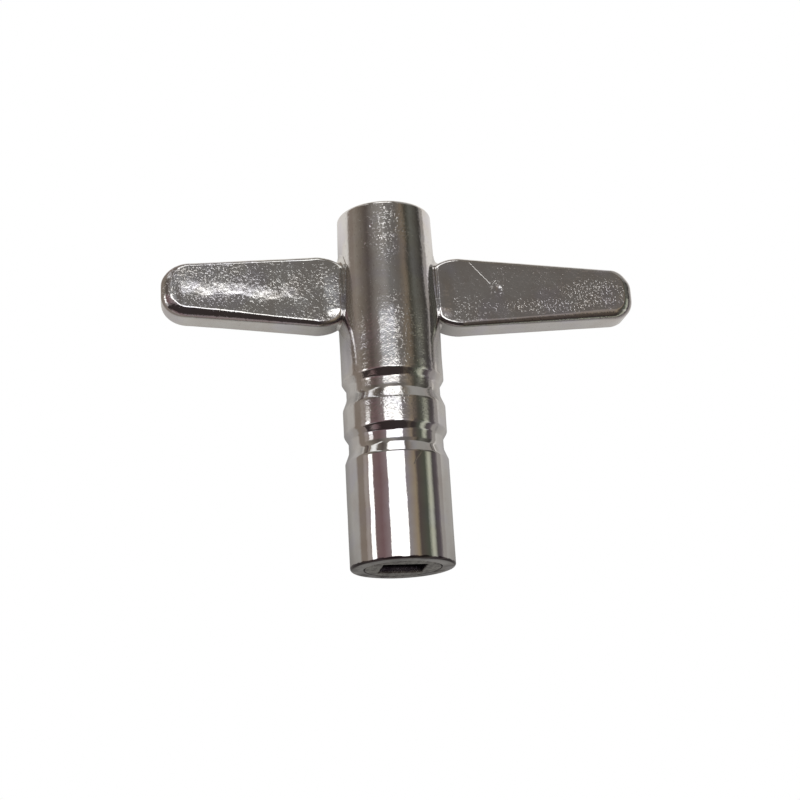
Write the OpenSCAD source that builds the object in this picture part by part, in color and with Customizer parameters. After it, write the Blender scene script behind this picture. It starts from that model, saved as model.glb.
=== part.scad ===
// Winged valve key: a barrel with a square socket at one end and two cast wings.
// The key lies flat: +Y runs along the barrel from the socket mouth to the closed
// end, +X is the right wing, +Z is square to the wing faces. The origin is the
// centre of the socket mouth, on the barrel axis.

/* [Barrel] */
// Outside diameter of the barrel at the socket end
barrel_d = 12.5; // [11.5:0.1:14]
// Outside diameter of the barrel at its closed end
barrel_end_d = 11.7; // [11:0.1:12.5]
// Length of the barrel
barrel_l = 45; // [43:0.1:50]
// Rounding of the rim round the socket mouth
mouth_round = 0.4; // [0.2:0.1:1]
// Rounding of the rim at the closed end
end_round = 0.35; // [0.2:0.05:1]
// Diameter of the blind bore that takes the socket insert
bore_d = 9.2; // [8.6:0.1:9.6]
// Depth of the blind bore
bore_l = 25.5; // [25:0.1:27]

/* [Rolled grooves] */
// Distance of the lower groove from the socket mouth
groove_1_y = 14.8; // [14.5:0.1:16]
// Distance of the upper groove from the socket mouth
groove_2_y = 21.5; // [20.8:0.1:22]
// Depth of each groove
groove_depth = 0.5; // [0.3:0.05:0.7]
// Width of each groove at the surface
groove_w = 3.2; // [2.4:0.1:3.4]

/* [Socket insert] */
// Size of the square socket across its flats
socket_af = 5.2; // [4.6:0.1:5.6]
// Depth of the square socket
socket_depth = 12; // [8:0.5:13]
// Lead-in chamfer round the square's mouth
socket_chamfer = 0.2; // [0.1:0.1:0.6]
// Length of the insert
insert_l = 24.5; // [24:0.1:25]

/* [Wings] */
// Distance from the barrel axis to the tip of the left wing
left_reach = 28; // [26:0.1:34]
// Distance from the barrel axis to the tip of the right wing
right_reach = 31.7; // [26:0.1:34]
// Distance of the wing's centre line from the socket mouth
wing_y = 34.5; // [33.5:0.1:36]
// Width of a wing at its shoulder, along the barrel
wing_root_w = 9.5; // [8:0.1:11]
// Width of a wing at its tip, along the barrel
wing_tip_w = 6.6; // [5.4:0.1:8]
// Thickness of a wing at its shoulder
wing_root_t = 4.1; // [3.6:0.1:4.6]
// Thickness of a wing at its tip
wing_tip_t = 4.6; // [3.8:0.1:5.6]
// Distance from the barrel axis to the wing's shoulder
shoulder_x = 8.9; // [7:0.1:10]
// Diameter of the spigot that is pressed into the barrel
spigot_d = 3; // [2.6:0.1:3]

/* [Hidden] */
$fn = 64;

barrel_r = barrel_d / 2;
barrel_end_r = barrel_end_d / 2;
bore_r = bore_d / 2;
taper_start_y = groove_2_y + groove_w * 0.85;
groove_r = (pow(groove_w / 2, 2) + pow(groove_depth, 2)) / (2 * groove_depth);
bevel_part = 0.3;
plan_fn = 32;
corner_neck_r = 1.2;
corner_root_r = 1.5;
corner_tip_r = 2.6;
edge_round = 0.9;
neck_inset = 0.7;
neck_t = wing_root_t - 0.4;
spigot_gap = 0.2;
overlap = 0.5;

// Stand a profile drawn as [radius, length] up along +Y.
module turned() {
    rotate([-90, 0, 0])
        rotate_extrude($fn = 96)
            children();
}

// Outline of the bare barrel, from its axis outwards.
module barrel_outline() {
    polygon([
        [0, 0],
        [barrel_r - mouth_round, 0],
        [barrel_r - mouth_round * bevel_part, mouth_round * bevel_part],
        [barrel_r, mouth_round],
        [barrel_r, taper_start_y],
        [barrel_end_r, barrel_l - end_round],
        [barrel_end_r - end_round, barrel_l],
        [0, barrel_l]
    ]);
}

// Sections of the two rolled grooves, sunk into a surface of the given radius.
module groove_sections(surface_r) {
    for (y = [groove_1_y, groove_2_y])
        translate([surface_r - groove_depth + groove_r, y])
            circle(r = groove_r);
}

// Cross hole that holds the spigots of both wings.
module cross_hole() {
    translate([0, wing_y, 0])
        rotate([0, 90, 0])
            cylinder(d = spigot_d, h = 2 * barrel_r + 2 * overlap, center = true);
}

// Turned barrel: rolling the two grooves pushed its wall into the insert's necks.
module barrel() {
    color([0.72, 0.71, 0.70])
        difference() {
            turned()
                difference() {
                    barrel_outline();
                    groove_sections(barrel_r);
                    difference() {
                        translate([0, -overlap])
                            square([bore_r, bore_l + overlap]);
                        groove_sections(bore_r);
                    }
                }
            cross_hole();
        }
}

// Wedge across the socket mouth that bevels two opposite edges of the square.
module chamfer_wedge() {
    half = socket_af / 2 + socket_chamfer;
    rotate([90, 0, 90])
        linear_extrude(height = 2 * half, center = true)
            polygon([
                [-overlap, -half - overlap],
                [-overlap, half + overlap],
                [half, 0]
            ]);
}

// Square socket with its lead-in chamfer.
module socket_hole() {
    translate([-socket_af / 2, -overlap, -socket_af / 2])
        cube([socket_af, socket_depth + overlap, socket_af]);
    intersection() {
        chamfer_wedge();
        rotate([0, 90, 0])
            chamfer_wedge();
    }
}

// Hardened insert with the square socket, held by the two rolled grooves.
module socket_insert() {
    color([0.45, 0.45, 0.46])
        difference() {
            turned()
                difference() {
                    square([bore_r, insert_l]);
                    groove_sections(bore_r);
                }
            socket_hole();
        }
}

// Upright disc with a bevelled rim: one corner of a wing.
module corner_disc(r, t) {
    rotate_extrude($fn = plan_fn)
        polygon([
            [0, -t / 2],
            [r - edge_round, -t / 2],
            [r - edge_round * bevel_part, edge_round * bevel_part - t / 2],
            [r, edge_round - t / 2],
            [r, t / 2 - edge_round],
            [r - edge_round * bevel_part, t / 2 - edge_round * bevel_part],
            [r - edge_round, t / 2],
            [0, t / 2]
        ]);
}

// Two corner discs, one at each edge of a wing, centred at a distance x.
module corner_pair(x, w, t, r) {
    for (side = [-1, 1])
        translate([x, wing_y + side * (w / 2 - r), 0])
            corner_disc(r, t);
}

// Paddle: narrow where it meets the barrel, widest at its shoulder, then tapered.
module paddle(reach) {
    hull() {
        corner_pair(barrel_end_r - overlap, wing_root_w - 2 * neck_inset, neck_t, corner_neck_r);
        corner_pair(shoulder_x, wing_root_w, wing_root_t, corner_root_r);
        corner_pair(reach - corner_tip_r, wing_tip_w, wing_tip_t, corner_tip_r);
    }
}

// Cast wing: its saddle sits on the barrel and its spigot fills the cross hole.
module wing(reach) {
    color([0.66, 0.66, 0.65])
        union() {
            difference() {
                paddle(reach);
                turned()
                    barrel_outline();
            }
            translate([spigot_gap, wing_y, 0])
                rotate([0, 90, 0])
                    cylinder(d = spigot_d, h = shoulder_x - spigot_gap);
        }
}

module right_wing() {
    wing(right_reach);
}

module left_wing() {
    mirror([1, 0, 0])
        wing(left_reach);
}

barrel();
socket_insert();
left_wing();
right_wing();
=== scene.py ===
"""Looks for the winged valve key: chrome barrel, steel socket insert and two cast wings.

Lengths inside the shape functions are in millimetres in the key's own frame: +Y along
the barrel from the socket mouth, +X towards the right wing, +Z square to the wing faces.
"""

import math

import bpy
import numpy as np
from mathutils import Matrix, Quaternion, Vector, noise


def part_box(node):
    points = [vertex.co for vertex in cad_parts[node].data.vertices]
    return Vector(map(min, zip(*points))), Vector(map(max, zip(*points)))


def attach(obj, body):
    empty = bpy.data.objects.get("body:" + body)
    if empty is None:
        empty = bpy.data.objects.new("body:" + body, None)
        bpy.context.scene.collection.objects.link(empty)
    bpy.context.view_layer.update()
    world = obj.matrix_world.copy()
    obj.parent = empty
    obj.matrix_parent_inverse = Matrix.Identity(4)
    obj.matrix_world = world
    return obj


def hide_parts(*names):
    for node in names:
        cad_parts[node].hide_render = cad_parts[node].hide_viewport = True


MM = 0.001

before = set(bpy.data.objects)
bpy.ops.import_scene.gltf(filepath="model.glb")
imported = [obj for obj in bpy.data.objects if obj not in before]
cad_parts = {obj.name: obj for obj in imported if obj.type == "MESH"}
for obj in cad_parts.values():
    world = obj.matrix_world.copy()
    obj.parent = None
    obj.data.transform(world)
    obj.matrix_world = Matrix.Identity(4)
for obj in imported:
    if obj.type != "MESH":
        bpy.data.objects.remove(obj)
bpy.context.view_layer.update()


def box_mm(node):
    """Lowest and highest corner of a CAD node, in millimetres."""
    lo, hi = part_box(node)
    return lo / MM, hi / MM


barrel_lo, barrel_hi = box_mm("barrel")
right_lo, right_hi = box_mm("right_wing")
left_lo, _ = box_mm("left_wing")
_, insert_hi = box_mm("socket_insert")

# Sizes from the CAD. The right wing's outline ends a little inside its CAD tip.
BARREL_R = barrel_hi.x
BARREL_L = barrel_hi.y
BORE_R = insert_hi.x
INSERT_L = insert_hi.y
RIGHT_TIP_TRIM = 0.35
RIGHT_REACH = right_hi.x - RIGHT_TIP_TRIM
LEFT_REACH = -left_lo.x
WING_Y = (right_lo.y + right_hi.y) / 2
SHOULDER_W = right_hi.y - right_lo.y
TIP_T = right_hi.z - right_lo.z

# Barrel details
BARREL_SIDES = 284
END_R = 5.94
MOUTH_ROUND = 0.32
END_ROUND = 0.45
GROOVES = (14.8, 21.5)
GROOVE_DEPTH = 0.52
TAPER_START = 24.2
BORE_L = 25.5

# Socket details
INSERT_SIDES = 256
SOCKET_AF = 5.2
SOCKET_DEPTH = 12.0
SOCKET_CHAMFER = 0.12

# Wing details
SHOULDER_X = 8.9
SHOULDER_T = 4.1
TIP_W = 6.6
TIP_ROLL = 1.25
FACE_RINGS = 30
EDGE_CREASE = 24
ROOT_X = 6.15
# Per wing: its reach, how far its far side is trimmed at the root and the tip, the two
# radii of its tip's corners, and the width of its near edge's roll at the root and the tip
LEFT_SHAPE = {
    "reach": LEFT_REACH, "trim": (0.26, 0.14), "tip": (3.6, 2.9), "near_roll": (0.62, 1.25),
}
RIGHT_SHAPE = {
    "reach": RIGHT_REACH, "trim": (0.18, 0.40), "tip": (2.7, 2.7), "near_roll": (0.52, 1.0),
}

# Step, roughly, along the barrel's side and along a wing's outline
FINE = 0.15


# ---------------------------------------------------------------- mesh helpers


def smoothstep(lo, hi, x):
    """Smooth change from 0 at lo to 1 at hi, which may be the smaller of the two."""
    t = np.clip((x - lo) / (hi - lo), 0.0, 1.0)
    return t * t * (3 - 2 * t)


def grain(points, wavelength, seed):
    """Seeded Perlin noise, from -1 to 1, at each of the given points."""
    shift = Vector((seed * 17.3, seed * 5.1, seed * 11.7))
    return np.array([noise.noise(Vector(p) / wavelength + shift) for p in points])


def make_piece(name, verts, faces, material):
    """Mesh object, in metres, from points in millimetres."""
    mesh = bpy.data.meshes.new(name)
    mesh.from_pydata([tuple(v * MM) for v in np.asarray(verts, float)], [], faces)
    mesh.polygons.foreach_set("use_smooth", [True] * len(mesh.polygons))
    mesh.materials.append(material)
    mesh.validate()
    obj = bpy.data.objects.new(name, mesh)
    bpy.context.scene.collection.objects.link(obj)
    return obj


def ring_faces(rings, count, closed=False):
    """Quads between rings of equal count, where ring k starts at vertex k * count."""
    faces = []
    for k in range(rings if closed else rings - 1):
        a, b = k * count, ((k + 1) % rings) * count
        for i in range(count):
            j = (i + 1) % count
            faces.append((a + i, a + j, b + j, b + i))
    return faces


def arc(centre, radius, start, end, steps):
    """Points on an arc, angles in degrees."""
    angles = np.radians(np.linspace(start, end, steps + 1))
    return [(centre[0] + radius * math.cos(a), centre[1] + radius * math.sin(a)) for a in angles]


def refine(profile, step):
    """Adds points so that no stretch of a profile is longer than step."""
    out = [profile[0]]
    for (r0, y0), (r1, y1) in zip(profile, profile[1:]):
        parts = max(1, math.ceil(math.hypot(r1 - r0, y1 - y0) / step))
        for k in range(1, parts + 1):
            out.append((r0 + (r1 - r0) * k / parts, y0 + (y1 - y0) * k / parts))
    return out


def outward(loop):
    """Unit vectors that point out of a closed loop of 2-D points."""
    along = np.roll(loop, -1, 0) - np.roll(loop, 1, 0)
    out = np.stack([along[:, 1], -along[:, 0]], axis=1)
    out /= np.linalg.norm(out, axis=1)[:, None]
    if ((loop - loop.mean(0)) * out).sum() < 0:
        out = -out
    return out


# --------------------------------------------------------------------- barrel


def barrel_radius(y):
    """Radius of the plain barrel, which thins a little towards its closed end."""
    t = np.clip((y - TAPER_START) / (BARREL_L - TAPER_START), 0, 1)
    return BARREL_R + (END_R - BARREL_R) * t


def groove_dip(y):
    """How far the two rolled grooves, each with a fine ridge in its floor, sink the side."""
    upper_edge, upper_flank = 1.6, 0.85
    lower_edge, lower_flank = 1.95, 1.3
    ridge, ridge_shift, ridge_width = 0.03, 0.62, 0.13
    dip = 0.0
    for centre in GROOVES:
        upper = np.clip((upper_edge - y + centre) / upper_flank, 0, 1)
        lower = np.clip((y - centre + lower_edge) / lower_flank, 0, 1)
        dip += GROOVE_DEPTH * float(upper * lower)
        dip -= ridge * math.exp(-(((y - centre + ridge_shift) / ridge_width) ** 2))
    return dip


def root_swell(y):
    """Slight swelling of the barrel under the wings' cast roots."""
    height, centre, width = 0.13, 31.0, 3.6
    return height * math.exp(-(((y - centre) / width) ** 2))


def barrel_profile():
    """Open outline as (radius, y): bore floor, bore, mouth ring, outside, closed end."""
    chamfer_r, chamfer_y = 0.12, 0.18
    bore_step = 1.0
    bore = [(0.0, BORE_L), (BORE_R, BORE_L), (BORE_R, chamfer_y), (BORE_R + chamfer_r, 0.0)]
    mouth = arc((BARREL_R - MOUTH_ROUND, MOUTH_ROUND), MOUTH_ROUND, -90, 0, 10)
    side_end = BARREL_L - END_ROUND
    steps = int((side_end - MOUTH_ROUND) / FINE)
    side = []
    for y in np.linspace(MOUTH_ROUND, side_end, steps)[1:]:
        side.append((float(barrel_radius(y)) - groove_dip(y) + root_swell(y), float(y)))
    end_r = side[-1][0]
    rim = arc((end_r - END_ROUND, side_end), END_ROUND, 0, 90, 8)
    return refine(bore, bore_step) + mouth + side + rim[1:] + [(4.0, BARREL_L), (2.0, BARREL_L)]


def build_barrel(material):
    """Barrel as rings round Y, with its outside slightly uneven and its two ends fanned shut."""
    count = BARREL_SIDES
    profile = np.array(barrel_profile()[1:])
    angles = np.linspace(0, 2 * math.pi, count, endpoint=False)
    around = np.stack([np.sin(angles), np.zeros(count), np.cos(angles)], axis=1)
    axis = np.array([0, 1, 0])
    rings = profile[:, 0][:, None, None] * around[None] + axis * profile[:, 1][:, None, None]
    points = rings.reshape(-1, 3)
    y = points[:, 1]
    radius = np.repeat(profile[:, 0], count)
    outside = radius > BORE_R + 0.3
    wave, pebble, streak = 0.016, 0.004, 0.010
    rough = 0.25 + 0.75 * smoothstep(16, 27, y)
    relief = wave * grain(points, 3.1, 1) + rough * pebble * grain(points, 0.7, 2)
    relief += streak * grain(points * [1, 0.5, 1], 1.6, 3) * smoothstep(24, 30, y)
    normal = points * [1, 0, 1] / np.maximum(radius, 0.1)[:, None]
    points = points + normal * (relief * outside)[:, None]
    faces = ring_faces(len(profile), count)
    start, end = len(points), len(points) + 1
    points = np.vstack([points, [[0, BORE_L, 0], [0, BARREL_L, 0]]])
    last = (len(profile) - 1) * count
    for i in range(count):
        j = (i + 1) % count
        faces.append((start, j, i))
        faces.append((end, last + i, last + j))
    return make_piece("barrel_shell", points, faces, material)


# --------------------------------------------------------------- socket insert


def square_and_circle(count, blend, half, radius):
    """Ring of (x, z) points that blends from a square (0) to a circle (1)."""
    angles = (np.arange(count) + 0.5) / count * 2 * math.pi
    x, z = np.sin(angles), np.cos(angles)
    to_square = half / np.maximum(np.abs(x), np.abs(z))
    size = to_square * (1 - blend) + radius * blend
    return np.stack([x * size, z * size], axis=1)


def build_insert(material):
    """Steel plug, from the drilled end of its socket round the mouth to its far face."""
    half = SOCKET_AF / 2
    opened = half + SOCKET_CHAMFER
    seat_r = BORE_R - 0.04
    drill_r = half * 1.02
    square, circle = 0.0, 1.0
    # Each ring: how round it is, half of its square, the radius of its circle, and y
    rings = [
        (circle, 0.0, 0.3, SOCKET_DEPTH + 1.2),
        (circle, 0.0, drill_r, SOCKET_DEPTH),
        (square, half, 0.0, SOCKET_DEPTH - 0.05),
        (square, half, 0.0, SOCKET_DEPTH - 0.4),
        (square, half, 0.0, 6.0),
        (square, half, 0.0, 1.2),
        (square, half + 0.015, 0.0, SOCKET_CHAMFER + 0.05),
        (square, half + 0.06, 0.0, SOCKET_CHAMFER - 0.02),
        (square, opened - 0.04, 0.0, 0.05),
        (square, opened + 0.03, 0.0, 0.0),
    ]
    for blend in (0.25, 0.5, 0.75):
        rings.append((blend, opened + 0.03, seat_r - 0.25, 0.0))
    rings += [
        (circle, 0.0, seat_r - 0.16, 0.0),
        (circle, 0.0, seat_r - 0.05, 0.03),
        (circle, 0.0, seat_r, 0.12),
        (circle, 0.0, seat_r, INSERT_L - 0.3),
        (circle, 0.0, seat_r - 0.3, INSERT_L),
        (circle, 0.0, 0.3, INSERT_L),
    ]
    points = []
    for blend, square_half, radius, y in rings:
        for x, z in square_and_circle(INSERT_SIDES, blend, square_half, radius):
            points.append((x, y, z))
    faces = ring_faces(len(rings), INSERT_SIDES)
    last = (len(rings) - 1) * INSERT_SIDES
    faces.append(tuple(range(INSERT_SIDES))[::-1])
    faces.append(tuple(last + i for i in range(INSERT_SIDES)))
    obj = make_piece("socket_insert_steel", points, faces, material)
    edge = obj.modifiers.new("crisp_edges", "EDGE_SPLIT")
    edge.split_angle = math.radians(32)
    return obj


# ---------------------------------------------------------------------- wings


def wing_half_width(x, reach):
    """Half width of a wing at x, before its ends are rounded."""
    t = (max(x, SHOULDER_X) - SHOULDER_X) / (reach - SHOULDER_X)
    return (SHOULDER_W + (TIP_W - SHOULDER_W) * t) / 2


def wing_outline(step, shape):
    """Widest outline of a wing, as (x, y from its centre line)."""
    reach, trim = shape["reach"], shape["trim"]
    root_rx, root_ry = 3.6, 1.9
    tip_rx, tip_ry = shape["tip"]
    tip_fullness = 0.9
    start_x = ROOT_X - 0.6
    upper = []
    for a in np.radians(np.linspace(180, 90, 16)):
        x = start_x + root_rx + root_rx * math.cos(a)
        upper.append((x, SHOULDER_W / 2 - root_ry + root_ry * math.sin(a)))
    for x in np.linspace(start_x + root_rx, reach - tip_rx, 12)[1:]:
        upper.append((x, wing_half_width(x, reach)))
    top = upper[-1][1]
    for a in np.radians(np.linspace(90, 0, 18))[1:]:
        x = reach - tip_rx + tip_rx * math.cos(a) ** tip_fullness
        upper.append((x, top - tip_ry + tip_ry * math.sin(a)))
    lean = (trim[1] - trim[0]) / (reach - ROOT_X)
    far = [(x, y - (trim[0] + lean * (x - ROOT_X)) * smoothstep(0.5, 2.5, y)) for x, y in upper]
    loop = far + [(x, -y) for x, y in upper[::-1]]
    loop = np.array(loop[::-1] + [loop[-1]])
    lengths = np.concatenate([[0], np.cumsum(np.hypot(*np.diff(loop, axis=0).T))])
    where = np.linspace(0, lengths[-1], int(lengths[-1] / step), endpoint=False)
    points = np.stack([np.interp(where, lengths, loop[:, axis]) for axis in (0, 1)], axis=1)
    for _ in range(4):
        points = (np.roll(points, 1, 0) + 2 * points + np.roll(points, -1, 0)) / 4
    return points


def edge_roll(points, out, shape):
    """Width of the rolled edge: narrow on the far side and at the root, wide at the tip."""
    at_root, at_tip = shape["near_roll"]
    near = at_root + (at_tip - at_root) * smoothstep(ROOT_X, shape["reach"], points[:, 0])
    far = 0.42
    side = smoothstep(-0.35, 0.6, out[:, 1])
    roll = near * (1 - side) + far * side
    tip = np.clip(out[:, 0], 0, 1)
    return roll * (1 - tip) + TIP_ROLL * tip


def half_thickness(x, reach):
    """Half thickness of a wing at x, which changes evenly from its shoulder to its tip."""
    t = np.clip((x - SHOULDER_X) / (reach - TIP_ROLL - SHOULDER_X), -0.15, 1)
    return (SHOULDER_T + (TIP_T - SHOULDER_T) * t) / 2


def paddle_side(side, outline, out, roll, reach):
    """Rings over one face of a paddle, from its spine to its outline and down its edge."""
    start, crest = math.sin(math.radians(EDGE_CREASE)), math.cos(math.radians(EDGE_CREASE))
    spine_x = np.clip(outline[:, 0], ROOT_X + 3.2, reach - TIP_ROLL - 2.6)
    spine = np.stack([spine_x, np.zeros(len(outline))], axis=1)
    rings = []
    for k in range(FACE_RINGS):
        flat = spine + (outline - spine) * (k / FACE_RINGS)
        rings.append(np.column_stack([flat, side * half_thickness(flat[:, 0], reach)]))
    thick = half_thickness(outline[:, 0], reach)
    # The edge drops about as far as it is wide, until it is nearly square to the face
    drop = np.clip(roll * 1.15, 0.5, 1.25)
    nearly_square = 84
    for a in np.radians(np.linspace(EDGE_CREASE, nearly_square, 15)):
        part = (math.sin(a) - start) / (1 - start)
        flat = outline + out * (roll * part)[:, None]
        rings.append(np.column_stack([flat, side * (thick - drop * (crest - math.cos(a)))]))
    return rings


def cast_skin(points, facing):
    """Fine unevenness: square to the flat faces, and away from the wing's axis elsewhere."""
    coarse, fine = 0.012, 0.005
    rough = coarse * grain(points, 2.2, 21) + fine * grain(points, 0.6, 22)
    zero = np.zeros(len(points))
    away = points - np.column_stack([points[:, 0], zero + WING_Y, zero])
    away /= np.maximum(np.linalg.norm(away, axis=1), 0.5)[:, None]
    flat = np.abs(facing)[:, None]
    direction = away * (1 - flat) + np.column_stack([zero, zero, facing]) * flat
    return points + direction * rough[:, None]


def build_paddle(relief, shape):
    """Rounded paddle: a flat face front and back, joined by a rolled edge."""
    widest = wing_outline(FINE, shape)
    count = len(widest)
    out = outward(widest)
    roll = edge_roll(widest, out, shape)
    outline = widest - out * roll[:, None]
    front = paddle_side(1, outline, out, roll, shape["reach"])
    back = paddle_side(-1, outline, out, roll, shape["reach"])
    bulge_share = 0.006
    bulge = out * (roll * bulge_share)[:, None]
    edge = []
    for t in np.linspace(0, 1, 13)[1:-1]:
        ring = front[-1] * (1 - t) + back[-1] * t
        ring[:, :2] += bulge * (4 * t * (1 - t))
        edge.append(ring)
    rings = front + edge + back[::-1]
    points = np.vstack(rings)
    points[:, 1] += WING_Y
    # 1 on the front face, -1 on the back face and 0 on the edge
    facing = np.zeros(len(points))
    facing[: FACE_RINGS * count] = 1
    facing[-FACE_RINGS * count:] = -1
    points[:, 2] += facing * relief(points)
    return cast_skin(points, facing), ring_faces(len(rings), count)


def barrel_side_x(z):
    """x of the barrel's plain side at the wings' height."""
    r = barrel_radius(WING_Y)
    return np.sqrt(np.maximum(r * r - z * z, 0.01))


def build_fillet():
    """Concave fillet between the barrel and the root of the right wing."""
    count, steps = 260, 10
    half_w, half_t, power = 4.35, 1.83, 3.6
    on_barrel, on_wing = 1.05, 0.5
    unevenness = 0.02
    angles = np.linspace(0, 2 * math.pi, count, endpoint=False)
    c, s = np.cos(angles), np.sin(angles)
    y = half_w * np.sign(c) * np.abs(c) ** (2 / power)
    z = half_t * np.sign(s) * np.abs(s) ** (2 / power)
    out = outward(np.stack([y, z], axis=1))
    spread = on_barrel * (0.75 + 0.25 * np.abs(s))
    foot_y = y + out[:, 0] * spread
    foot_z = z + out[:, 1] * spread
    foot = np.column_stack([barrel_side_x(foot_z) - 0.03, foot_y, foot_z])
    corner = np.column_stack([barrel_side_x(z), y, z])
    toe = np.column_stack([barrel_side_x(z) + on_wing, y * 0.985, z * 0.985])
    rings = []
    for t in np.linspace(0, 1, steps + 1):
        rings.append(foot * (1 - t) ** 2 + corner * 2 * t * (1 - t) + toe * t * t)
    # Three rings inside the metal close the fillet
    rings.append(toe * [1, 0.93, 0.9])
    rings.append(corner * [1, 0.9, 0.9] - [1.0, 0, 0])
    rings.append(foot - [0.6, 0, 0])
    points = np.vstack(rings)
    points[:, 1] += WING_Y
    points += unevenness * np.column_stack([grain(points, 1.3, seed) for seed in (41, 42, 43)])
    return points, ring_faces(len(rings), count, closed=True)


def build_wing(name, side, shape, relief, material):
    """One wing with its root fillet. side is 1 for the right wing and -1 for the left."""
    paddle, paddle_faces = build_paddle(relief, shape)
    fillet, fillet_faces = build_fillet()
    shift = len(paddle)
    points = np.vstack([paddle, fillet]) * [side, 1, 1]
    faces = paddle_faces + [tuple(i + shift for i in f) for f in fillet_faces]
    if side < 0:
        faces = [f[::-1] for f in faces]
    return make_piece(name, points, faces, material)


def left_relief(points):
    """Long shallow step in the left wing's face, and a lip where it meets the barrel."""
    depth, lip_height, wave = 0.059, 0.12, 0.02
    x, y = points[:, 0], points[:, 1] - WING_Y
    along = smoothstep(9.5, 14.0, x) * (1 - smoothstep(25.4, 26.2, x))
    wander = 0.16 * np.sin(x * 0.9) + 0.12 * np.sin(x * 2.3) + 0.05 * (20 - x)
    ramp = np.clip((0.75 - y - wander) / 1.6, 0, 1) ** 1.2
    recover = 1 - smoothstep(-1.2, -3.6, y + wander)
    lip = lip_height * smoothstep(8.6, 6.0, x)
    lip = lip * smoothstep(-3.6, -2.4, y) * (1 - smoothstep(2.4, 3.6, y))
    return -depth * along * ramp * recover + wave * grain(points, 6.0, 51) + lip


def right_relief(points):
    """Gentle unevenness of the right wing's face, with a nick and a pimpled tip."""
    pimple_height, nick_depth, lip_height, wave = 0.010, 0.045, 0.12, 0.025
    x, y = points[:, 0], points[:, 1] - WING_Y
    pimples = pimple_height * grain(points, 0.8, 61)
    pimples = pimples * smoothstep(20, 24, x) * smoothstep(3.2, 1.0, np.abs(y + 0.4))
    nick = nick_depth * np.exp(-(((x - 13.8) / 0.28) ** 2 + ((y - 0.35) / 0.38) ** 2))
    lip = lip_height * smoothstep(8.2, 6.2, x) * smoothstep(3.4, 2.2, np.abs(y))
    return wave * grain(points, 5.5, 62) + pimples - nick + lip


# ------------------------------------------------------------------ materials


class Nodes:
    """Small helper that adds nodes to a tree and links their inputs."""

    def __init__(self, tree):
        self.tree = tree
        tree.nodes.clear()

    def add(self, kind, inputs=None, **props):
        node = self.tree.nodes.new(kind)
        for key, value in props.items():
            setattr(node, key, value)
        for key, value in (inputs or {}).items():
            self.feed(node.inputs[key], value)
        return node

    def feed(self, socket, value):
        if isinstance(value, bpy.types.NodeSocket):
            self.tree.links.new(value, socket)
        else:
            socket.default_value = value

    def math(self, operation, *values):
        node = self.add("ShaderNodeMath", operation=operation)
        for socket, value in zip(node.inputs, values):
            self.feed(socket, value)
        return node.outputs[0]

    def plus(self, first, *others):
        for other in others:
            first = self.math("ADD", first, other)
        return first

    def minus(self, first, *others):
        for other in others:
            first = self.math("SUBTRACT", first, other)
        return first

    def times(self, first, *others):
        for other in others:
            first = self.math("MULTIPLY", first, other)
        return first

    def scaled(self, value, factor, start):
        """start + factor * value"""
        return self.math("MULTIPLY_ADD", value, factor, start)

    def axes(self, vector):
        """The x, y and z of a vector."""
        return tuple(self.add("ShaderNodeSeparateXYZ", {0: vector}).outputs)

    def step(self, value, lo, hi, to_lo=0.0, to_hi=1.0):
        """Smooth change from to_lo to to_hi as value goes from lo to hi."""
        ends = {1: lo, 2: hi, 3: to_lo, 4: to_hi}
        if lo > hi:
            ends = {1: hi, 2: lo, 3: to_hi, 4: to_lo}
        inputs = {0: value, **ends}
        return self.add("ShaderNodeMapRange", inputs, interpolation_type="SMOOTHSTEP").outputs[0]

    def band(self, value, lo, hi, soft):
        """1 between lo and hi, 0 outside, with soft ends."""
        return self.times(
            self.step(value, lo - soft, lo + soft),
            self.step(value, hi + soft, hi - soft),
        )

    def mix(self, factor, a, b):
        """Colour a where factor is 0 and b where it is 1. Plain colours are (r, g, b)."""
        node = self.add("ShaderNodeMix", data_type="RGBA")
        self.feed(node.inputs[0], factor)
        for socket, colour in ((node.inputs[6], a), (node.inputs[7], b)):
            self.feed(socket, (*colour, 1) if isinstance(colour, tuple) else colour)
        return node.outputs[2]

    def noise(self, vector, scale, detail=2.0, rough=0.5):
        inputs = {"Vector": vector, "Scale": scale, "Detail": detail, "Roughness": rough}
        return self.add("ShaderNodeTexNoise", inputs).outputs["Fac"]

    def spots(self, vector, scale):
        """Distance to the nearest random point."""
        inputs = {"Vector": vector, "Scale": scale}
        return self.add("ShaderNodeTexVoronoi", inputs).outputs["Distance"]

    def turned(self, vector, angle, scale, shift=(0, 0, 0)):
        """Coordinates shifted, turned about Z by an angle in degrees, then stretched."""
        moved = self.add("ShaderNodeVectorMath", {0: vector, 1: shift}, operation="SUBTRACT")
        inputs = {"Vector": moved.outputs[0], "Angle": math.radians(-angle)}
        turned = self.add("ShaderNodeVectorRotate", inputs, rotation_type="Z_AXIS")
        inputs = {0: turned.outputs[0], 1: scale}
        return self.add("ShaderNodeVectorMath", inputs, operation="MULTIPLY").outputs[0]


def new_material(name):
    material = bpy.data.materials.new(name)
    material.use_nodes = True
    return material, Nodes(material.node_tree)


def millimetres(g):
    """Place on the object, in millimetres, so that noise scales are per millimetre."""
    place = g.add("ShaderNodeTexCoord").outputs["Object"]
    return g.add("ShaderNodeVectorMath", {0: place, "Scale": 1 / MM}, operation="SCALE").outputs[0]


def metal_output(g, colour, roughness, height):
    """Bare metal with a height map in millimetres."""
    bump = g.add("ShaderNodeBump", {"Strength": 1.0, "Distance": MM, "Height": height})
    surface = g.add(
        "ShaderNodeBsdfPrincipled",
        {"Base Color": colour, "Metallic": 1.0, "Roughness": roughness, "Normal": bump.outputs[0]},
    )
    g.add("ShaderNodeOutputMaterial", {"Surface": surface.outputs[0]})


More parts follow.
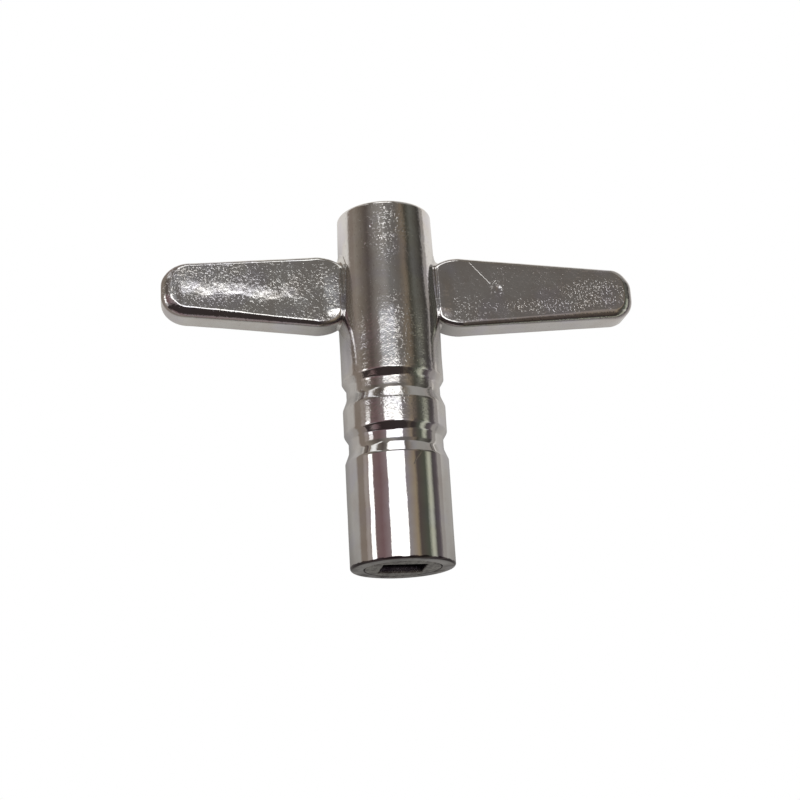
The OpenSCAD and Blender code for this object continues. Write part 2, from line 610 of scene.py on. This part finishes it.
def scratch(g, place, start, end, width):
    """1 along one straight scratch between two (x, y) points, 0 elsewhere."""
    (x0, y0), (x1, y1) = start, end
    length = math.hypot(x1 - x0, y1 - y0)
    angle = math.degrees(math.atan2(y1 - y0, x1 - x0))
    local = g.turned(place, angle, (1, 1, 1), ((x0 + x1) / 2, (y0 + y1) / 2, 0))
    along, across, _ = g.axes(local)
    wobble = g.scaled(g.noise(local, 1.5), 0.3, -0.15)
    across = g.math("ABSOLUTE", g.plus(across, wobble))
    along = g.math("ABSOLUTE", along)
    return g.times(g.step(across, width, 0.0), g.step(along, length / 2, length / 2 - 0.4))


def patch(g, place, centre, size, soft=0.5):
    """1 inside an ellipse about an (x, y) point and 0 outside, with a ragged soft edge."""
    x, y, _ = g.axes(place)
    across = g.math("DIVIDE", g.minus(x, centre[0]), size[0])
    along = g.math("DIVIDE", g.minus(y, centre[1]), size[1])
    reach = g.math("SQRT", g.plus(g.times(across, across), g.times(along, along)))
    reach = g.plus(reach, g.scaled(g.noise(place, 1.1), 0.5, -0.25))
    return g.step(reach, 1 + soft, 1 - soft)


def sparkle_patches(base, patches):
    """Mask with a base value and brighter patches, each with its centre, size and amount."""
    def mask(g, place):
        total = base
        for centre, size, amount in patches:
            total = g.plus(g.times(patch(g, place, centre, size), amount), total)
        return total
    return mask


def barrel_mask(g, place):
    """Smooth at the socket end, pitted above the upper groove."""
    _, y, _ = g.axes(place)
    uneven = g.scaled(g.noise(place, 0.45), 0.5, 0.55)
    return g.times(uneven, g.step(y, 12.5, 22.0, 0.10, 1.0))


def wing_mask(g, place):
    """Pitted all over, a little more towards the tips."""
    x, _, _ = g.axes(place)
    uneven = g.scaled(g.noise(place, 0.3), 0.9, 0.35)
    return g.times(uneven, g.step(g.math("ABSOLUTE", x), 8.0, 26.0, 0.8, 1.15))


# Chrome colours: stains as a share of the plate's own tint, then the colours of pits, of
# the violet cast, of the painted shade on the mouth's rounded rim and of the dark blotches
# on the mouth's flat face
STAIN_SHARE = (0.93, 0.90, 0.88)
PIT_COLOUR = (0.22, 0.20, 0.19)
VIOLET = (0.60, 0.585, 0.66)
MOUTH_RIM_SHADE = (0.07, 0.05, 0.06)
MOUTH_FACE_BLOTCH = (0.20, 0.18, 0.18)


def chrome_colour(g, place, tint, mask, pits):
    stained = tuple(c * f for c, f in zip(tint, STAIN_SHARE))
    colour = g.mix(g.step(g.noise(place, 0.35, 4.0, 0.6), 0.35, 0.7), tint, stained)
    colour = g.mix(g.times(pits, g.times(mask, 0.35)), colour, PIT_COLOUR)
    violet = g.step(g.noise(place, 0.24, 2.0, 0.5), 0.48, 0.66)
    colour = g.mix(g.times(violet, 0.5), colour, VIOLET)
    _, y, _ = g.axes(place)
    # Painted shade along the mouth's rounded rim: a dark line with a ragged inner edge
    rim_shade_edge = g.scaled(g.noise(place, 1.4, 3.0, 0.6), 0.44, 0.06)
    rim = g.times(g.step(y, 0.01, 0.05), g.step(g.minus(y, rim_shade_edge), 0.08, 0.0))
    colour = g.mix(g.times(rim, 0.9), colour, MOUTH_RIM_SHADE)
    # Dark blotches on the mouth's flat face
    face = g.times(g.step(y, 0.06, 0.02), g.step(g.noise(place, 0.42, 3.0, 0.6), 0.47, 0.60))
    return g.mix(g.times(face, 0.75), colour, MOUTH_FACE_BLOTCH)


def chrome(name, tint, grain_mask, sparkle_mask, grain_depth, smooth_depth, scratches=(), dents=()):
    """Chrome plate. The masks are 1 where the metal is grainy, and where it sparkles."""
    material, g = new_material(name)
    place = millimetres(g)
    mask = grain_mask(g, place)
    pebble = g.noise(place, 2.6, 3.0, 0.62)
    fine = g.noise(place, 6.5, 2.0, 0.6)
    pits = g.step(g.spots(place, 1.7), 0.22, 0.05)
    pimples = g.step(g.noise(place, 3.6, 2.0, 0.55), 0.54, 0.72)
    pimples = g.times(pimples, sparkle_mask(g, place))
    brush = g.noise(g.turned(place, 58, (0.7, 9.0, 3.0)), 1.0, 3.0, 0.6)
    hair = g.step(brush, 0.66, 0.72)
    smooth = g.noise(place, 1.3, 2.0, 0.5)

    # Heights as shares of grain_depth and of smooth_depth
    grainy = g.plus(g.times(pebble, 0.55), g.times(fine, 0.35), g.times(pimples, 2.0))
    grainy = g.minus(grainy, g.times(pits, 0.45), g.times(hair, 0.12))
    grainy = g.times(grainy, g.times(mask, grain_depth))
    calm = g.minus(g.plus(smooth, g.times(pebble, 0.3)), g.times(hair, 0.03))
    height = g.plus(grainy, g.times(calm, smooth_depth))
    for centre, size, depth in dents:
        dent = g.times(g.step(g.spots(place, 1.05), 0.2, 0.03), patch(g, place, centre, size))
        height = g.minus(height, g.times(dent, depth))
    for start, end, width, depth in scratches:
        height = g.minus(height, g.times(scratch(g, place, start, end, width), depth))

    haze = g.scaled(g.noise(place, 3.0, 4.0, 0.7), 0.09, 0.015)
    haze = g.plus(g.times(haze, g.scaled(mask, 1.1, 0.45)), g.times(hair, 0.05))
    metal_output(g, chrome_colour(g, place, tint, mask, pits), haze, height)
    return material


def insert_steel():
    """Hardened steel with turning rings on its face and broach lines in the socket, whose inside is
    painted near black as painted shade.
    """
    ring_density, ring_depth, broach_depth = 42.0, 0.0006, 0.0025
    face_colours = (0.62, 0.61, 0.57), (0.30, 0.28, 0.28)
    # Painted shade: the socket's inside is nearly black
    socket_shade_colours = (0.10, 0.09, 0.105), (0.055, 0.045, 0.06)
    material, g = new_material("insert_steel")
    place = millimetres(g)
    x, y, z = g.axes(place)
    radius = g.math("SQRT", g.plus(g.times(x, x), g.times(z, z)))
    rings = g.math("SINE", g.times(radius, ring_density))
    on_face = g.step(y, 0.2, 0.05)
    broach = g.noise(g.turned(place, 0, (6.0, 0.4, 6.0)), 1.0, 3.0, 0.6)
    blotch = g.noise(place, 1.1, 4.0, 0.65)
    height = g.plus(g.times(rings, g.times(on_face, ring_depth)), g.times(broach, broach_depth))
    face = g.mix(g.step(blotch, 0.42, 0.62), *face_colours)
    inside = g.mix(g.step(blotch, 0.35, 0.65), *socket_shade_colours)
    # Painted shade inside the socket, from just within the mouth
    colour = g.mix(g.step(y, 0.02, 0.35), face, inside)
    metal_output(g, colour, g.scaled(blotch, 0.25, 0.16), height)
    return material


# ---------------------------------------------------------------------- stage

# Colours of the paper as the chrome mirrors it: its own tint, then painted shade on its far left
# and far right
PAPER = (1.0, 0.965, 0.92)
PAPER_SHADE_FAR_LEFT = (0.29, 0.245, 0.21)
PAPER_SHADE_FAR_RIGHT = (0.40, 0.375, 0.355)


def build_floor():
    """White paper under the key. Mirrored in the chrome, it carries painted shade: darker towards
    the mouth, with painted contact shadow near the key.
    """
    size = 3.0
    z = barrel_lo.z * MM
    mesh = bpy.data.meshes.new("paper_floor")
    corners = [(-size, -size, z), (size, -size, z), (size, size, z), (-size, size, z)]
    mesh.from_pydata(corners, [], [(0, 1, 2, 3)])
    floor = bpy.data.objects.new("paper_floor", mesh)
    bpy.context.scene.collection.objects.link(floor)
    material, g = new_material("paper")
    x, y, _ = g.axes(millimetres(g))
    # Painted light and shade on the mirrored paper: dark towards the mouth, where the barrel's
    # shadow falls, and brighter towards the closed end
    light = g.plus(g.step(y, -6.0, 8.0, 0.19, 0.46), g.step(y, 8.0, 50.0, 0.0, 0.44))
    # Painted contact shadow: ambient occlusion darkens the mirrored paper near the key
    contact_shade = g.add("ShaderNodeAmbientOcclusion", {"Distance": 9 * MM}, samples=8)
    light = g.times(light, g.math("POWER", contact_shade.outputs["AO"], 0.8))
    paper = g.mix(light, (0, 0, 0), PAPER)
    # Painted shade on the paper's far left and far right
    paper = g.mix(g.step(x, -25.0, -38.0), paper, PAPER_SHADE_FAR_LEFT)
    paper = g.mix(g.step(x, 40.0, 60.0), paper, PAPER_SHADE_FAR_RIGHT)
    by_camera = g.add("ShaderNodeLightPath").outputs["Is Camera Ray"]
    seen = g.add("ShaderNodeEmission", {"Color": (1, 1, 1, 1), "Strength": 1.0})
    mirrored = g.add("ShaderNodeEmission", {"Color": paper, "Strength": 1.0})
    inputs = {0: by_camera, 1: mirrored.outputs[0], 2: seen.outputs[0]}
    both = g.add("ShaderNodeMixShader", inputs)
    g.add("ShaderNodeOutputMaterial", {"Surface": both.outputs[0]})
    mesh.materials.append(material)


# Colours of the room round the key, by the angle in degrees from straight up towards
# +X. The near row is what the socket end mirrors, and the far row what the closed end
# and the wing faces mirror.
NEAR_ROOM = (
    (-180, (0.44, 0.42, 0.40)),
    (-118, (0.46, 0.42, 0.38)),
    (-107, (0.29, 0.24, 0.21)),
    (-96, (0.29, 0.24, 0.21)),
    (-84, (0.45, 0.40, 0.37)),
    (-62, (0.24, 0.165, 0.165)),
    (-49, (0.22, 0.14, 0.145)),
    (-35, (0.32, 0.25, 0.26)),
    (12, (0.34, 0.31, 0.31)),
    (28, (0.36, 0.29, 0.20)),
    (34, (0.11, 0.09, 0.08)),
    (54, (0.10, 0.11, 0.085)),
    (63, (0.60, 0.62, 0.50)),
    (68, (0.52, 0.53, 0.44)),
    (74, (0.10, 0.09, 0.09)),
    (84, (0.13, 0.11, 0.12)),
    (95, (0.42, 0.39, 0.37)),
    (180, (0.44, 0.42, 0.40)),
)
FAR_ROOM = (
    (-180, (0.86, 0.86, 0.85)),
    (-119, (0.72, 0.70, 0.66)),
    (-106, (0.30, 0.26, 0.24)),
    (-88, (0.32, 0.28, 0.24)),
    (-72, (0.22, 0.19, 0.16)),
    (-53, (0.12, 0.10, 0.09)),
    (-36, (0.26, 0.24, 0.22)),
    (-15, (0.34, 0.32, 0.30)),
    (-2, (0.22, 0.21, 0.20)),
    (20, (0.18, 0.165, 0.15)),
    (35, (0.25, 0.205, 0.155)),
    (46, (0.075, 0.07, 0.055)),
    (57, (0.16, 0.16, 0.14)),
    (70, (0.12, 0.115, 0.10)),
    (85, (0.06, 0.055, 0.05)),
    (99, (0.45, 0.44, 0.43)),
    (116, (0.78, 0.78, 0.77)),
    (180, (0.86, 0.86, 0.85)),
)
FAR_ROOM_Y = (0.265, 0.345)

# Regions of the room, as limits on a direction whose product is 1 inside. x, y and z are
# its unit vector, turn is its angle in degrees from straight up towards +X, aside its
# angle in radians from straight ahead (-Y) towards +X, and off that angle without its
# sign. A band is (from, to, softness). A step goes from 0 to 1, or between two given
# values, as its axis goes from the first number to the second.
REGIONS = {
    "glow": (("turn", "band", -30.0, 2.0, 5.0), ("y", "band", 0.2, 0.382, 0.03)),
    "wall": (("x", "step", 0.20, 0.46), ("y", "step", 0.56, 0.66)),
    "near": (
        ("y", "step", -0.08, -0.20),
        ("off", "step", 1.42, 1.12),
        ("z", "step", 0.34, 0.50),
        ("aside", "step", 0.34, 0.46, 1.0, 0.80),
        ("aside", "step", 0.84, 0.64),
    ),
    "nook": (
        ("aside", "band", -1.16, -0.88, 0.05),
        ("y", "step", -0.20, -0.32),
        ("z", "step", 0.0, 0.06),
    ),
    "side": (
        ("off", "band", 1.25, 2.0, 0.12),
        ("z", "band", 0.22, 0.62, 0.08),
        ("y", "step", -0.15, -0.30),
    ),
    "overhead": (("turn", "band", -31.0, 7.5, 1.6), ("y", "band", -0.14, 0.308, 0.02)),
    "missing_corner": (("turn", "step", -6.0, -12.0), ("y", "step", 0.15, 0.10)),
    "window": (("turn", "band", -76.0, -66.0, 1.8), ("y", "band", -0.15, 0.285, 0.03)),
    "behind": (
        ("x", "band", -0.32, 0.16, 0.03),
        ("y", "band", 0.67, 0.91, 0.02),
        ("z", "step", 0.0, 0.08),
    ),
    "corner": (("x", "band", -0.64, -0.56, 0.03), ("y", "band", 0.60, 0.91, 0.02)),
}

# What is painted over the room, in this order: region, how much it covers, and colour
PAINT = (
    ("glow", 1.0, (0.47, 0.48, 0.51)),
    ("wall", 0.8, (0.46, 0.45, 0.43)),
    ("near", 0.96, (0.038, 0.029, 0.028)),
    ("side", 0.8, (1.1, 1.1, 1.08)),
    ("overhead", 1.0, (2.3, 2.3, 2.277)),
    ("window", 1.0, (2.2, 2.2, 2.178)),
    ("behind", 1.0, (1.9, 1.9, 1.881)),
    ("corner", 1.0, (1.2, 1.2, 1.188)),
)


def room_row(g, share, stops):
    """Colour ramp over the turn round the barrel axis."""
    node = g.add("ShaderNodeValToRGB", {0: share})
    ramp = node.color_ramp
    while len(ramp.elements) > 1:
        ramp.elements.remove(ramp.elements[-1])
    for k, (angle, colour) in enumerate(stops):
        position = angle / 360 + 0.5
        element = ramp.elements[0] if k == 0 else ramp.elements.new(position)
        element.position = position
        element.color = colour + (1,)
    return node.outputs[0]


def build_world():
    """Pale studio for the camera, and a dim room with soft bright panels for the chrome."""
    world = bpy.data.worlds.new("studio")
    bpy.context.scene.world = world
    world.use_nodes = True
    g = Nodes(world.node_tree)
    x, y, z = g.axes(g.add("ShaderNodeTexCoord").outputs["Generated"])
    turn = g.math("ARCTAN2", x, z)
    aside = g.math("ARCTAN2", x, g.times(y, -1.0))
    axes = {
        "x": x, "y": y, "z": z, "turn": g.times(turn, 180 / math.pi),
        "aside": aside, "off": g.math("ABSOLUTE", aside),
    }
    kinds = {"band": g.band, "step": g.step}
    regions = {}
    for name, limits in REGIONS.items():
        inside = [kinds[kind](axes[axis], *numbers) for axis, kind, *numbers in limits]
        regions[name] = g.times(*inside)
    uncut = g.minus(1.0, regions["missing_corner"])
    regions["overhead"] = g.times(regions["overhead"], uncut)
    regions["near"] = g.math("MAXIMUM", regions["near"], regions["nook"])

    share = g.scaled(turn, 0.5 / math.pi, 0.5)
    near_row, far_row = (room_row(g, share, stops) for stops in (NEAR_ROOM, FAR_ROOM))
    room = g.mix(g.step(y, *FAR_ROOM_Y), near_row, far_row)
    for name, cover, colour in PAINT:
        room = g.mix(g.times(regions[name], cover), room, colour)
    by_camera = g.add("ShaderNodeLightPath").outputs["Is Camera Ray"]
    seen = g.mix(by_camera, room, (1, 1, 1))
    sky = g.add("ShaderNodeBackground", {"Color": seen, "Strength": 1.0})
    g.add("ShaderNodeOutputWorld", {"Surface": sky.outputs[0]})


def build_camera():
    """Camera over the key's left front, looking down at it from the socket side."""
    place = Vector((-27.0, -30.69, 158.63)) * MM
    aim = Vector((0.8, 20.89, 0.0)) * MM
    tilt, lens, sensor = 3.345, 62.216, 36
    forward = (aim - place).normalized()
    right = forward.cross(Vector((0, 1, 0))).normalized()
    right.rotate(Quaternion(forward, math.radians(tilt)))
    up = right.cross(forward)
    turn = Matrix((right, up, -forward)).transposed().to_4x4()
    camera = bpy.data.objects.new("camera", bpy.data.cameras.new("camera"))
    bpy.context.scene.collection.objects.link(camera)
    camera.matrix_world = Matrix.Translation(place) @ turn
    camera.data.sensor_width = sensor
    camera.data.lens = lens
    camera.data.clip_start, camera.data.clip_end = 0.01, 10
    bpy.context.scene.camera = camera


# ----------------------------------------------------------------------- scene

# Where the chrome sparkles, as (x, y) of the centre, size and amount of each patch
barrel_sparkle = sparkle_patches(0.22, (
    ((-0.3, 41.0), (2.2, 3.2), 0.6),
    ((0.6, 27.5), (1.6, 4.5), 0.7),
    ((-0.8, 18.6), (2.4, 1.6), 0.5),
))
left_sparkle = sparkle_patches(0.3, (
    ((-19.5, WING_Y - 0.1), (8.5, 1.3), 0.8),
    ((-23.0, WING_Y + 2.3), (4.0, 1.6), 0.5),
    ((-7.6, WING_Y), (1.2, 4.0), 0.4),
))
right_sparkle = sparkle_patches(0.17, (
    ((26.2, WING_Y - 0.2), (3.6, 1.7), 1.0),
    ((19.5, WING_Y - 1.9), (5.0, 0.8), 0.7),
    ((9.5, WING_Y - 2.2), (3.0, 1.8), 0.25),
    ((13.6, WING_Y + 0.4), (0.8, 0.9), 0.9),
))
# A scratch is (start, end, width, depth) and a group of dents (centre, size, depth)
barrel_chrome = chrome(
    "barrel_chrome", (0.67, 0.66, 0.65), barrel_mask, barrel_sparkle,
    grain_depth=0.010, smooth_depth=0.0036,
    scratches=(((0.9, 39.2), (2.6, 36.9), 0.06, 0.006), ((2.3, 13.2), (0.8, 11.0), 0.07, 0.006)),
    dents=(((-0.6, 41.8), (2.3, 3.0), 0.035), ((-3.4, 41.2), (0.7, 2.4), 0.03)),
)
left_chrome = chrome(
    "left_wing_chrome", (0.66, 0.655, 0.64), wing_mask, left_sparkle,
    grain_depth=0.011, smooth_depth=0.004,
)
right_chrome = chrome(
    "right_wing_chrome", (0.63, 0.62, 0.615), wing_mask, right_sparkle,
    grain_depth=0.011, smooth_depth=0.004,
    scratches=(((10.0, 38.6), (12.9, 35.3), 0.06, 0.0055),),
)

barrel = build_barrel(barrel_chrome)
insert = build_insert(insert_steel())
left_wing = build_wing("left_wing_casting", -1, LEFT_SHAPE, left_relief, left_chrome)
right_wing = build_wing("right_wing_casting", 1, RIGHT_SHAPE, right_relief, right_chrome)
pieces = (
    (barrel, "barrel", "barrel_chrome"),
    (insert, "socket_insert", "insert_steel"),
    (left_wing, "left_wing", "wing_chrome"),
    (right_wing, "right_wing", "wing_chrome"),
)
for piece, node, slot in pieces:
    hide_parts(node)
    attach(piece, "root")

build_floor()
build_world()
build_camera()
bpy.context.scene.view_settings.view_transform = "Standard"
